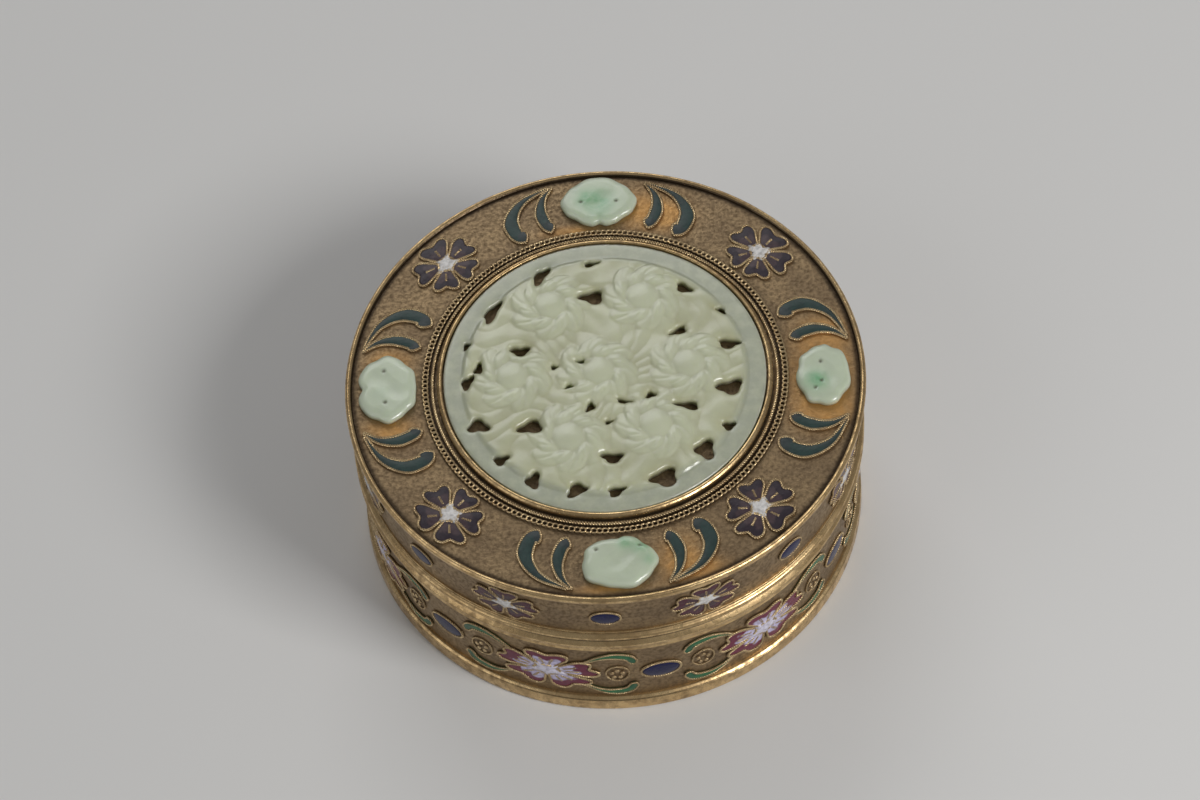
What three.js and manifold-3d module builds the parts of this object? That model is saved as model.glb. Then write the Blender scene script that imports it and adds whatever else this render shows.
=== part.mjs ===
// Round lidded box in gilt metal, with a pierced jade plaque, jade stones and enamelled ornament.
// Millimetres, +Z up. The origin is the middle of the base's underside, and the front faces -Y.
import * as THREE from 'three';
import { mergeVertices } from 'three/addons/utils/BufferGeometryUtils.js';
import Module from 'manifold-3d';

const wasm = await Module();
wasm.setup();

// Driving sizes of the metal shell
const boxRadius = 42.5; // over the mouldings
const mouldingDepth = 1.0; // how far a moulding stands out from the wall
const wallThickness = 0.8;
const sheetThickness = 0.8; // floor, and top of the lid
const collarThickness = 0.8;
const joinGap = 0.3; // clearance between curved faces
const edge = 0.4; // bevel on a moulding
const roundSides = 48;

// Driving heights, from the table up
const footHeight = 3.4;
const floorHeight = 1.2;
const ledgeWidth = 2.1;
const baseBandHeight = 15.0;
const baseRimHeight = 3.45;
const baseBeadHeight = 2.35; // middle of the bead above the rim's lower edge
const seamGap = 0.25; // between the base's rim and the lid
const collarRise = 5.3; // the collar above the base's rim
const lidRimHeight = 2.2;
const lidBandHeight = 9.6;
const lidEdgeHeight = 0.6; // the rim wire above the lid's top
const rimLap = 0.15; // the rim wire's seat on the lid's top

// Driving sizes of the plaque and of the wires round it
const plaqueRadius = 26.3;
const plaqueThickness = 1.2;
const bezelThickness = 0.9;
const bezelHeight = 1.3;
const ropeRadius = 0.35;
const loopWidth = 1.2;
const loopHeight = 0.8;

// Driving sizes of the ornament. Those on the lid are given for a field of fieldDesign between the looped
// wire and the rim, on a ring of radius ringDesign, and follow both. The carving's are given for a
// plaque of radius plaqueDesign.
const fieldDesign = 11.35;
const ringDesign = 35.55;
const ringShare = 0.488987; // where the ring of stones and flowers lies across the field
const plaqueDesign = 26.3;
const flowerHalfWidth = 6.2;
const flowerHalfDepth = 5.2;
const bandFlowerHalfWidth = 6.0;
const bandFlowerHalfHeight = 4.2;
const bandOvalHalfWidth = 2.45;
const bandOvalHalfHeight = 1.7;
const baseFlowerHalfWidth = 9.0;
const baseFlowerHalfHeight = 5.6;
const baseOvalHalfWidth = 3.3;
const baseOvalHalfHeight = 2.1;
const wireHeight = 0.42; // the raised edge of an enamel cell
const enamelHeight = 0.28;

// Radii and heights that follow
const wallOuter = boxRadius - mouldingDepth;
const wallInner = wallOuter - wallThickness;
const collarOuter = wallInner - joinGap;
const collarInner = collarOuter - collarThickness;
const baseWallTop = footHeight + baseBandHeight;
const baseTop = baseWallTop + baseRimHeight;
const lidSeat = baseTop + seamGap;
const lidWallTop = lidRimHeight + lidBandHeight;
const lidTop = lidWallTop + sheetThickness;
const bezelInner = plaqueRadius + joinGap;
const bezelOuter = bezelInner + bezelThickness;
const ropeCentre = bezelOuter + joinGap + ropeRadius;
const loopInner = ropeCentre + ropeRadius + joinGap;
const loopOuter = loopInner + loopWidth;
const rimInner = wallOuter - rimLap;
const fieldWidth = rimInner - loopOuter;
const ornamentRing = loopOuter + fieldWidth * ringShare;

const gilt = new THREE.MeshStandardMaterial({ color: 0x8a6c40, roughness: 0.45, metalness: 0.9 });
const brightGilt = new THREE.MeshStandardMaterial({ color: 0xc79a55, roughness: 0.3, metalness: 0.95 });
const paleJade = new THREE.MeshStandardMaterial({ color: 0xc4cdb0, roughness: 0.3, metalness: 0 });
const greenJade = new THREE.MeshStandardMaterial({ color: 0xa9d8b4, roughness: 0.3, metalness: 0 });
const cobaltEnamel = new THREE.MeshStandardMaterial({ color: 0x0b1050, roughness: 0.15, metalness: 0 });
const plumEnamel = new THREE.MeshStandardMaterial({ color: 0x3a2730, roughness: 0.25, metalness: 0 });
const leafEnamel = new THREE.MeshStandardMaterial({ color: 0x24423d, roughness: 0.3, metalness: 0 });
const lilacEnamel = new THREE.MeshStandardMaterial({ color: 0x9c7fa8, roughness: 0.2, metalness: 0 });

const rad = THREE.MathUtils.degToRad;

// Merges shared vertices and turns the faces outwards.
function closedBody(geometry) {
  geometry.deleteAttribute('normal');
  geometry.deleteAttribute('uv');
  const body = mergeVertices(geometry);
  const index = body.index.array;
  const corner = [new THREE.Vector3(), new THREE.Vector3(), new THREE.Vector3()];
  let volume = 0;
  for (let i = 0; i < index.length; i += 3) {
    corner.forEach((point, k) => point.fromBufferAttribute(body.attributes.position, index[i + k]));
    volume += corner[0].dot(corner[1].clone().cross(corner[2]));
  }
  if (volume < 0) body.setIndex([...index].reverse());
  body.computeVertexNormals();
  return body;
}

function solidOf(geometry) {
  const body = closedBody(geometry);
  return new wasm.Manifold(new wasm.Mesh({
    numProp: 3,
    vertProperties: new Float32Array(body.attributes.position.array),
    triVerts: new Uint32Array(body.index.array),
  }));
}

function geometryOf(solid) {
  const mesh = solid.getMesh();
  const geometry = new THREE.BufferGeometry();
  geometry.setAttribute('position', new THREE.BufferAttribute(mesh.vertProperties, 3));
  geometry.setIndex(new THREE.BufferAttribute(mesh.triVerts, 1));
  geometry.computeVertexNormals();
  return geometry;
}

// A ring turned from a closed section of [radius, height] points.
function turnedRing(section, sides = roundSides) {
  const points = [...section, section[0]].map(([radius, height]) => new THREE.Vector2(radius, height));
  return closedBody(new THREE.LatheGeometry(points, sides).rotateX(Math.PI / 2));
}

function disc(radius, thickness) {
  const rim = Array.from({ length: roundSides }, (_, k) => {
    const turn = (k / roundSides) * 2 * Math.PI;
    return new THREE.Vector2(radius * Math.cos(turn), radius * Math.sin(turn));
  });
  return new THREE.ExtrudeGeometry(new THREE.Shape(rim), { depth: thickness, bevelEnabled: false });
}

// Flat seat on the lid's top: across is along the ring of ornament, out is away from the middle.
const onLid = (across, out, height) => {
  const turn = across / ringDesign;
  const radius = ornamentRing + (out * fieldWidth) / fieldDesign;
  return new THREE.Vector3(radius * Math.cos(turn), radius * Math.sin(turn), height);
};

// Seat round a wall, clear of it by the join gap: across is along the wall, out is up it.
const onWall = (across, out, height) => {
  const radius = wallOuter + joinGap + height;
  const turn = across / (wallOuter + joinGap);
  return new THREE.Vector3(radius * Math.cos(turn), radius * Math.sin(turn), out);
};

// A plate with a star-shaped outline, a plain back, and a face whose height is given at some shares of
// the way out, from the edge to the middle.
function starPlate(outline, count, levels, place, low = 0) {
  const rings = [[1, low], ...levels.slice(0, -1)];
  const points = [place(0, 0, low)];
  for (const [share, height] of rings) {
    for (let k = 0; k < count; k += 1) {
      const [across, out] = outline((k / count) * 2 * Math.PI);
      points.push(place(across * share, out * share, height));
    }
  }
  points.push(place(0, 0, levels.at(-1)[1]));
  const faces = [];
  const at = (ring, k) => 1 + ring * count + (k % count);
  for (let k = 0; k < count; k += 1) {
    faces.push(0, at(0, k + 1), at(0, k));
    for (let ring = 0; ring < rings.length - 1; ring += 1) {
      faces.push(at(ring, k), at(ring, k + 1), at(ring + 1, k + 1));
      faces.push(at(ring, k), at(ring + 1, k + 1), at(ring + 1, k));
    }
    faces.push(at(rings.length - 1, k), at(rings.length - 1, k + 1), points.length - 1);
  }
  return closedBody(new THREE.BufferGeometry().setFromPoints(points).setIndex(faces));
}

// A comma-shaped strip along a smooth route, thin at its tail and round and broad near its head.
function comma(route, steps, breadth, low, high, place) {
  const curve = new THREE.CatmullRomCurve3(route.map(([across, out]) => new THREE.Vector3(across, out, 0)));
  const points = [];
  for (let k = 0; k <= steps; k += 1) {
    const share = k / steps;
    const middle = curve.getPoint(share);
    const along = curve.getTangent(share);
    const half = breadth * (0.16 + 0.34 * Math.sin(Math.PI * Math.min(share * 0.8, 0.8)) ** 2);
    for (const [side, height] of [[1, low], [-1, low], [-1, high], [1, high]]) {
      points.push(place(middle.x - along.y * half * side, middle.y + along.x * half * side, height));
    }
  }
  const faces = [0, 1, 2, 0, 2, 3];
  const last = steps * 4;
  faces.push(last, last + 2, last + 1, last, last + 3, last + 2);
  for (let k = 0; k < last; k += 4) {
    for (let side = 0; side < 4; side += 1) {
      const next = (side + 1) % 4;
      faces.push(k + side, k + 4 + side, k + 4 + next, k + side, k + 4 + next, k + next);
    }
  }
  return closedBody(new THREE.BufferGeometry().setFromPoints(points).setIndex(faces));
}

// Heart-shaped petals: full at the middle of each, with a small dip there, and a valley between two.
function petals(count, valley, dip, halfWidth, halfHeight, turned = 0) {
  return (direction) => {
    const share = (((direction - turned) * count) / (2 * Math.PI) + 64.5) % 1 - 0.5;
    const reach = 1 - (1 - valley) * Math.abs(2 * share) ** 4 - dip * Math.max(0, 1 - Math.abs(share) * 8);
    return [halfWidth * reach * Math.cos(direction), halfHeight * reach * Math.sin(direction)];
  };
}

const oval = (halfWidth, halfHeight) => (direction) => [
  halfWidth * Math.cos(direction), halfHeight * Math.sin(direction),
];

const petalCount = 5;
const petalPoints = 6;
const flowerLevels = [[1, wireHeight], [0.55, enamelHeight], [0, wireHeight + 0.1]];
const bandFlowerLevels = [[1, wireHeight], [0, enamelHeight]];
const ovalLevels = [[1, enamelHeight], [0, wireHeight]];
const ovalPoints = 12;

const box = new THREE.Group();
const base = new THREE.Group();
const lid = new THREE.Group();
lid.position.z = lidSeat;
box.add(base, lid);

function addPiece(owner, name, geometry, material, height = 0, turn = 0) {
  const piece = new THREE.Mesh(geometry, material);
  piece.name = name;
  piece.position.z = height;
  piece.rotation.z = rad(turn);
  owner.add(piece);
}

// Base shell: the foot ring carries the wall on its top and the floor on its inner ledge.
const ledgeInner = wallInner - ledgeWidth;
addPiece(base, 'base_foot_ring', turnedRing([
  [ledgeInner, 0], [boxRadius - edge, 0], [boxRadius, edge], [boxRadius, footHeight - edge],
  [boxRadius - edge, footHeight], [wallInner, footHeight],
  [wallInner, floorHeight], [ledgeInner, floorHeight],
]), brightGilt);
addPiece(base, 'base_floor', closedBody(disc(wallInner - joinGap, sheetThickness)), gilt, floorHeight);
addPiece(base, 'base_wall', turnedRing([
  [wallInner, footHeight], [wallOuter, footHeight], [wallOuter, baseWallTop], [wallInner, baseWallTop],
]), gilt);
const beadHalf = 0.35;
addPiece(base, 'base_top_rim', turnedRing([
  [wallInner, 0], [wallOuter + edge, 0], [wallOuter + edge, baseBeadHeight - beadHalf - edge],
  [boxRadius, baseBeadHeight - beadHalf], [boxRadius, baseBeadHeight + beadHalf],
  [wallOuter + edge, baseRimHeight - edge / 2], [wallOuter, baseRimHeight], [wallInner, baseRimHeight],
]), brightGilt, baseWallTop);

// The collar stands on the floor and guides the lid.
const collarFoot = floorHeight + sheetThickness;
const collarTop = baseTop + collarRise;
addPiece(base, 'base_collar', turnedRing([
  [collarInner, collarFoot], [collarOuter, collarFoot], [collarOuter, collarTop], [collarInner, collarTop],
]), gilt);

// Base ornament: seven flowers, each with four scrolled leaves, and seven ovals between them.
const baseRepeats = 7;
const firstBaseOval = -82.5;
const basePitch = 360 / baseRepeats;
const baseBandMiddle = 10.7;
const scrollRoute = [[3.6, 1.8], [8.2, 4.7], [11.0, 5.9], [13.5, 5.3], [14.6, 3.3]];
const scrollSteps = 5;
const scrollBreadth = 1.9;
const scrollLow = 0.06;
const scrollHigh = 0.36;
for (let k = 0; k < baseRepeats; k += 1) {
  let flower = solidOf(starPlate(
    petals(petalCount, 0.62, 0.1, baseFlowerHalfWidth, baseFlowerHalfHeight, rad(90)),
    petalCount * petalPoints, flowerLevels, onWall,
  ));
  for (const [sideways, upwards] of [[1, 1], [1, -1], [-1, 1], [-1, -1]]) {
    const route = scrollRoute.map(([across, out]) => [across * sideways, out * upwards]);
    flower = flower.add(solidOf(comma(route, scrollSteps, scrollBreadth, scrollLow, scrollHigh, onWall)));
  }
  const ovalTurn = firstBaseOval + k * basePitch;
  const flowerTurn = ovalTurn - basePitch / 2;
  addPiece(base, `base_flower_${k + 1}`, geometryOf(flower), lilacEnamel, baseBandMiddle, flowerTurn);
  addPiece(base, `base_oval_${k + 1}`, starPlate(
    oval(baseOvalHalfWidth, baseOvalHalfHeight), ovalPoints, ovalLevels, onWall,
  ), cobaltEnamel, baseBandMiddle, ovalTurn);
}

// Lid shell: a lower rim, a wall on it, a flat top on the wall, and a rim wire that laps the top's edge.
addPiece(lid, 'lid_lower_rim', turnedRing([
  [wallInner, 0], [wallOuter, 0], [boxRadius, 0.8], [boxRadius, lidRimHeight - 0.7],
  [wallOuter + edge, lidRimHeight], [wallInner, lidRimHeight],
]), brightGilt);
addPiece(lid, 'lid_wall', turnedRing([
  [wallInner, lidRimHeight], [wallOuter, lidRimHeight], [wallOuter, lidWallTop], [wallInner, lidWallTop],
]), gilt);
addPiece(lid, 'lid_top_plate', closedBody(disc(wallOuter, sheetThickness)), gilt, lidWallTop);
addPiece(lid, 'lid_top_rim', turnedRing([
  [rimInner, lidTop], [wallOuter + joinGap, lidTop], [wallOuter + joinGap, lidWallTop],
  [boxRadius - edge / 2, lidWallTop], [boxRadius, lidWallTop + edge], [boxRadius, lidTop + edge / 2],
  [boxRadius - edge, lidTop + lidEdgeHeight], [rimInner, lidTop + lidEdgeHeight],
]), brightGilt);

// Bezel, twisted wire and looped wire round the plaque, each standing on the lid's top.
const trimSides = 36;
addPiece(lid, 'plaque_bezel', turnedRing([
  [bezelInner, 0], [bezelOuter, 0], [bezelOuter, bezelHeight], [bezelInner, bezelHeight],
], trimSides), brightGilt, lidTop);
const ropeSection = [-120, -60, 0, 60, 120, 180].map((direction) => [
  ropeCentre + ropeRadius * Math.cos(rad(direction)),
  ropeRadius * (Math.sin(rad(direction)) + Math.sin(rad(60))),
]);
addPiece(lid, 'bezel_rope_wire', turnedRing(ropeSection, trimSides), brightGilt, lidTop);
addPiece(lid, 'bezel_loop_wire', turnedRing([
  [loopInner, 0], [loopOuter, 0], [loopOuter, loopHeight - edge],
  [loopOuter - edge, loopHeight], [loopInner + edge, loopHeight], [loopInner, loopHeight - edge],
], trimSides), brightGilt, lidTop);

// Jade plaque: a flat margin, carved blossoms round a middle one, and three rings of piercings.
const carvingScale = plaqueRadius / plaqueDesign;
const blossomRing = 14.7 * carvingScale;
const blossomCount = 6;
const blossomHalf = 7.0 * carvingScale;
const blossomRise = 1.1;
const blossomPoints = 4; // on each petal
const piercingSides = 6;
const piercingRings = [
  { count: 17, radius: 22.2, first: 8, long: 3.2, wide: 2.0 },
  { count: 6, radius: 15.2, first: 30, long: 3.4, wide: 2.6 },
  { count: 6, radius: 7.0, first: 28, long: 1.9, wide: 1.3 },
];
function carvedPlaque() {
  const root = plaqueThickness / 2;
  const blossomLevels = [[1, 0.35], [0.6, 0.75], [0, blossomRise]].map(
    ([share, rise]) => [share, plaqueThickness + rise],
  );
  let plaque = solidOf(disc(plaqueRadius, plaqueThickness));
  const centres = [[0, 0]];
  for (let k = 0; k < blossomCount; k += 1) centres.push([blossomRing, rad((360 / blossomCount) * k)]);
  for (const [distance, turn] of centres) {
    const place = (across, out, height) => new THREE.Vector3(
      distance * Math.cos(turn) + across, distance * Math.sin(turn) + out, height,
    );
    const outline = petals(petalCount, 0.72, 0.06, blossomHalf, blossomHalf, turn);
    plaque = plaque.add(solidOf(starPlate(outline, petalCount * blossomPoints, blossomLevels, place, root)));
  }
  for (const { count, radius, first, long, wide } of piercingRings) {
    for (let k = 0; k < count; k += 1) {
      const half = (wide / 2) * carvingScale;
      const hole = new THREE.CylinderGeometry(half, half, plaqueThickness * 6, piercingSides);
      hole.rotateX(Math.PI / 2).scale(1, long / wide, 1).translate(radius * carvingScale, 0, 0);
      hole.rotateZ(rad(first + (360 / count) * k));
      plaque = plaque.subtract(solidOf(hole));
    }
  }
  return geometryOf(plaque);
}
addPiece(lid, 'jade_plaque', carvedPlaque(), paleJade, lidTop);

// Four drilled jade stones, each a lobed slab with a rounded edge and a notch.
const stones = [
  { name: 'north', turn: 88, halfWidth: 6.4, halfDepth: 5.1, lobes: 4, notch: -90 },
  { name: 'east', turn: -5, halfWidth: 6.0, halfDepth: 4.5, lobes: 7, notch: 0 },
  { name: 'south', turn: -90, halfWidth: 6.2, halfDepth: 4.8, lobes: 5, notch: -90 },
  { name: 'west', turn: 179, halfWidth: 6.5, halfDepth: 5.0, lobes: 6, notch: 90 },
];
const stoneEdge = 0.9;
const stoneRise = 1.5;
const lobeDepth = 0.035;
const notchDepth = 0.12;
const notchSpread = 12;
const stonePoints = 24;
function stoneOutline({ halfWidth, halfDepth, lobes, notch }) {
  return (direction) => {
    const away = THREE.MathUtils.euclideanModulo(direction - rad(notch) + Math.PI, 2 * Math.PI) - Math.PI;
    const dip = notchDepth * Math.exp(-((away / rad(notchSpread)) ** 2));
    const reach = 1 - lobeDepth + lobeDepth * Math.cos(lobes * direction) - dip;
    return [halfWidth * reach * Math.cos(direction), halfDepth * reach * Math.sin(direction)];
  };
}

// On each side of a stone a spray of two scrolled leaves, joined where their wire tails meet at the rim.
const spraySteps = 7;
const sprayBreadth = 2.6;
const sprayHeight = 0.4;
const nearLeaf = [[0.9, 4.3], [3.0, 2.3], [3.9, -0.6], [3.3, -3.4], [1.9, -3.9]];
const farLeaf = [[0.9, 4.3], [6.6, 2.6], [9.3, -0.4], [9.2, -3.4], [7.6, -4.0]];
for (const stone of stones) {
  addPiece(lid, `stone_${stone.name}`, starPlate(
    stoneOutline(stone), stonePoints, [[1, stoneEdge], [0.82, stoneRise], [0, stoneRise]], onLid,
  ), greenJade, lidTop, stone.turn);
  for (const [side, sign] of [['left', 1], ['right', -1]]) {
    const leaves = [nearLeaf, farLeaf].map((leaf) => {
      const route = leaf.map(([across, out]) => [sign * (stone.halfWidth + across), out]);
      return solidOf(comma(route, spraySteps, sprayBreadth, 0, sprayHeight, onLid));
    });
    const spray = geometryOf(leaves[0].add(leaves[1]));
    addPiece(lid, `leaf_spray_${stone.name}_${side}`, spray, leafEnamel, lidTop, stone.turn);
  }
}

// Four flowers on the lid's top, between the stones.
const lidFlowers = { north_west: 134.6, north_east: 40, south_east: -49.8, south_west: -137.6 };
for (const [corner, turn] of Object.entries(lidFlowers)) {
  addPiece(lid, `lid_flower_${corner}`, starPlate(
    petals(petalCount, 0.5, 0.12, flowerHalfWidth, flowerHalfDepth, rad(18)),
    petalCount * petalPoints, flowerLevels, onLid,
  ), plumEnamel, lidTop, turn);
}

// Lid band: eight flowers and eight ovals in turn.
const lidRepeats = 8;
const firstLidOval = -94;
const lidPitch = 360 / lidRepeats;
const lidBandMiddle = 6.6;
for (let k = 0; k < lidRepeats; k += 1) {
  const ovalTurn = firstLidOval + k * lidPitch;
  addPiece(lid, `lid_band_flower_${k + 1}`, starPlate(
    petals(petalCount, 0.5, 0.12, bandFlowerHalfWidth, bandFlowerHalfHeight, rad(90)),
    petalCount * petalPoints, bandFlowerLevels, onWall,
  ), plumEnamel, lidBandMiddle, ovalTurn + lidPitch / 2);
  addPiece(lid, `lid_band_oval_${k + 1}`, starPlate(
    oval(bandOvalHalfWidth, bandOvalHalfHeight), ovalPoints, ovalLevels, onWall,
  ), cobaltEnamel, lidBandMiddle, ovalTurn);
}

export default box;
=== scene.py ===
import bpy
import numpy as np
from mathutils import Matrix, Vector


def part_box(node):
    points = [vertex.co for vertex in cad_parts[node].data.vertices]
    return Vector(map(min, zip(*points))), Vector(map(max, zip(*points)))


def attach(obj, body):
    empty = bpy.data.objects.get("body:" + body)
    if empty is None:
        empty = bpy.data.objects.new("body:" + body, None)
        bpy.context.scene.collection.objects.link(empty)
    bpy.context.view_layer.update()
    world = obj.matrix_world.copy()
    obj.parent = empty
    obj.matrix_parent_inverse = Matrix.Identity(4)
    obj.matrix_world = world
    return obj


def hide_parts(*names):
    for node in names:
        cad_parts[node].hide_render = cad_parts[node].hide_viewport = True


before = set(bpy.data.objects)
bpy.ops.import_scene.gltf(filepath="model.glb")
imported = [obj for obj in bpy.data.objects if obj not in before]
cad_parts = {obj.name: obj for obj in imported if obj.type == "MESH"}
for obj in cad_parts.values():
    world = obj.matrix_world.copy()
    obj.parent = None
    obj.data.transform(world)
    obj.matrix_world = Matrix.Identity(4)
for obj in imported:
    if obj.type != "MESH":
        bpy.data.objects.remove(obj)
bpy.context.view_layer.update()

MM = 0.001

# Camera: a long lens looking down on the closed box from the front, a little rolled, as the photograph
# was taken. It aims at the middle of the lid's rim.
rim_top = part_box("lid_top_rim")[1].z
camera_distance = 0.52136
elevation, roll, pan, tilt = 0.96987, 0.07760, -0.00205, -0.00741

right = np.array([1.0, 0.0, 0.0])
up = np.array([0.0, np.sin(elevation), np.cos(elevation)])
ahead = np.array([0.0, np.cos(elevation), -np.sin(elevation)])
camera_place = np.array([0.0, 0.0, rim_top]) - ahead * camera_distance
panned_right = np.cos(pan) * right - np.sin(pan) * ahead
panned_ahead = np.sin(pan) * right + np.cos(pan) * ahead
tilted_up = np.cos(tilt) * up - np.sin(tilt) * panned_ahead
camera_ahead = np.sin(tilt) * up + np.cos(tilt) * panned_ahead
camera_x = np.cos(roll) * panned_right - np.sin(roll) * tilted_up
camera_y = np.sin(roll) * panned_right + np.cos(roll) * tilted_up

camera = bpy.data.objects.new("camera", bpy.data.cameras.new("camera"))
bpy.context.scene.collection.objects.link(camera)
camera.data.sensor_width = 36.0
camera.data.lens = 96.0
turn = np.eye(4)
turn[:3, 0], turn[:3, 1], turn[:3, 2], turn[:3, 3] = camera_x, camera_y, -camera_ahead, camera_place
camera.matrix_world = Matrix(turn.tolist())
bpy.context.scene.camera = camera
bpy.context.scene.view_settings.view_transform = "Standard"

# Floor and light: a pale matt floor, a large soft lamp from the front right, where the photograph's stood,
# and two weaker ones that keep the far side readable.
floor_half = 1.5
floor_mesh = bpy.data.meshes.new("floor")
floor_mesh.from_pydata(
    [(x * floor_half, y * floor_half, 0.0) for x, y in ((-1, -1), (1, -1), (1, 1), (-1, 1))], [], [(0, 1, 2, 3)]
)
floor = bpy.data.objects.new("floor", floor_mesh)
bpy.context.scene.collection.objects.link(floor)
floor_finish = bpy.data.materials.new("pale_floor")
floor_finish.use_nodes = True
floor_finish.node_tree.nodes["Principled BSDF"].inputs["Base Color"].default_value = (0.72, 0.71, 0.69, 1)
floor_finish.node_tree.nodes["Principled BSDF"].inputs["Roughness"].default_value = 0.8
floor_mesh.materials.append(floor_finish)

world = bpy.data.worlds.new("soft_room")
bpy.context.scene.world = world
world.use_nodes = True
world.node_tree.nodes["Background"].inputs["Color"].default_value = (0.62, 0.63, 0.65, 1)
world.node_tree.nodes["Background"].inputs["Strength"].default_value = 0.26


def soft_lamp(name, place, size, power):
    """A square area lamp at a place in metres, turned to the middle of the lid."""
    lamp = bpy.data.objects.new(name, bpy.data.lights.new(name, "AREA"))
    bpy.context.scene.collection.objects.link(lamp)
    lamp.data.size = size
    lamp.data.energy = power
    aim = np.array([0.0, 0.0, rim_top]) - np.array(place)
    back = -aim / np.linalg.norm(aim)
    side = np.cross([0.0, 0.0, 1.0], back)
    side /= np.linalg.norm(side)
    pose = np.eye(4)
    pose[:3, 0], pose[:3, 1], pose[:3, 2], pose[:3, 3] = side, np.cross(back, side), back, place
    lamp.matrix_world = Matrix(pose.tolist())


soft_lamp("key_lamp", (0.46, -0.34, 0.50), 0.26, 3.1)
soft_lamp("fill_lamp", (-0.55, -0.25, 0.40), 0.50, 0.7)
soft_lamp("back_lamp", (-0.10, 0.60, 0.50), 0.45, 1.3)

# Gilt metal of the shell: brass sheet, gilded, worn and darkened with age. The field of the lid and of the bands is
# brown and mottled, the mouldings are rubbed bright, and dirt and painted shade darken the grooves, corners and joints.


def new_finish(name):
    """A new material with its node tree and its Principled shader."""
    finish = bpy.data.materials.new(name)
    finish.use_nodes = True
    return finish, finish.node_tree, finish.node_tree.nodes["Principled BSDF"]


def ramp_of(tree, source, stops):
    """A colour ramp over a value: each stop is a place from 0 to 1 and a colour."""
    ramp = tree.nodes.new("ShaderNodeValToRGB")
    while len(ramp.color_ramp.elements) < len(stops):
        ramp.color_ramp.elements.new(0.5)
    for element, (place, colour) in zip(ramp.color_ramp.elements, stops):
        element.position = place
        element.color = (*colour, 1)
    tree.links.new(source, ramp.inputs["Fac"])
    return ramp.outputs["Color"]


def mixed(tree, share, first, second, blend="MIX"):
    """One colour over another by a share, which is a socket or a number; each colour is a socket or a tuple."""
    mix = tree.nodes.new("ShaderNodeMix")
    mix.data_type = "RGBA"
    mix.blend_type = blend
    colours = [socket for socket in mix.inputs if socket.type == "RGBA"]
    factor = mix.inputs[0]
    if isinstance(share, (int, float)):
        factor.default_value = share
    else:
        tree.links.new(share, factor)
    for socket, value in zip(colours, (first, second)):
        if isinstance(value, tuple):
            socket.default_value = (*value, 1)
        else:
            tree.links.new(value, socket)
    return next(socket for socket in mix.outputs if socket.type == "RGBA")


def reading(tree, name):
    """A number that the mesh carries at each point."""
    attribute = tree.nodes.new("ShaderNodeAttribute")
    attribute.attribute_name = name
    return attribute.outputs["Fac"]


def spread(tree, source, low, high, to_low=0.0, to_high=1.0):
    """A value stretched from one span to another and kept inside it."""
    span = tree.nodes.new("ShaderNodeMapRange")
    span.inputs["From Min"].default_value = low
    span.inputs["From Max"].default_value = high
    span.inputs["To Min"].default_value = to_low
    span.inputs["To Max"].default_value = to_high
    tree.links.new(source, span.inputs["Value"])
    return span.outputs["Result"]


def combined(tree, operation, first, second):
    """Two values joined by an arithmetic step; each is a socket or a number."""
    step = tree.nodes.new("ShaderNodeMath")
    step.operation = operation
    step.use_clamp = True
    for socket, value in zip(step.inputs, (first, second)):
        if isinstance(value, (int, float)):
            socket.default_value = value
        else:
            tree.links.new(value, socket)
    return step.outputs["Value"]


def mottle_group():
    """Clouds and pits of an old metal or stone surface: a broad mask, a fine mask and a height."""
    group = bpy.data.node_groups.new("mottle", "ShaderNodeTree")
    group.interface.new_socket("Broad Scale", in_out="INPUT", socket_type="NodeSocketFloat")
    group.interface.new_socket("Fine Scale", in_out="INPUT", socket_type="NodeSocketFloat")
    for name in ("Broad", "Fine", "Height"):
        group.interface.new_socket(name, in_out="OUTPUT", socket_type="NodeSocketFloat")
    entry, result = group.nodes.new("NodeGroupInput"), group.nodes.new("NodeGroupOutput")
    place = group.nodes.new("ShaderNodeTexCoord").outputs["Object"]
    for scale, name, low, high in (("Broad Scale", "Broad", 0.38, 0.62), ("Fine Scale", "Fine", 0.42, 0.66)):
        noise = group.nodes.new("ShaderNodeTexNoise")
        noise.inputs["Detail"].default_value = 6.0
        noise.inputs["Roughness"].default_value = 0.62
        group.links.new(place, noise.inputs["Vector"])
        group.links.new(entry.outputs[scale], noise.inputs["Scale"])
        group.links.new(spread(group, noise.outputs["Fac"], low, high), result.inputs[name])
        last = noise
    group.links.new(last.outputs["Fac"], result.inputs["Height"])
    return group


mottle = mottle_group()


def mottled(tree, broad_scale, fine_scale):
    """The mottle group placed in a material, with its two scales."""
    clouds = tree.nodes.new("ShaderNodeGroup")
    clouds.node_tree = mottle
    clouds.inputs["Broad Scale"].default_value = broad_scale
    clouds.inputs["Fine Scale"].default_value = fine_scale
    return clouds.outputs


def bumped(tree, surface, height, strength, distance):
    """A bump from a height, on the shader's normal."""
    bump = tree.nodes.new("ShaderNodeBump")
    bump.inputs["Strength"].default_value = strength
    bump.inputs["Distance"].default_value = distance
    tree.links.new(height, bump.inputs["Height"])
    tree.links.new(bump.outputs["Normal"], surface.inputs["Normal"])


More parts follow.
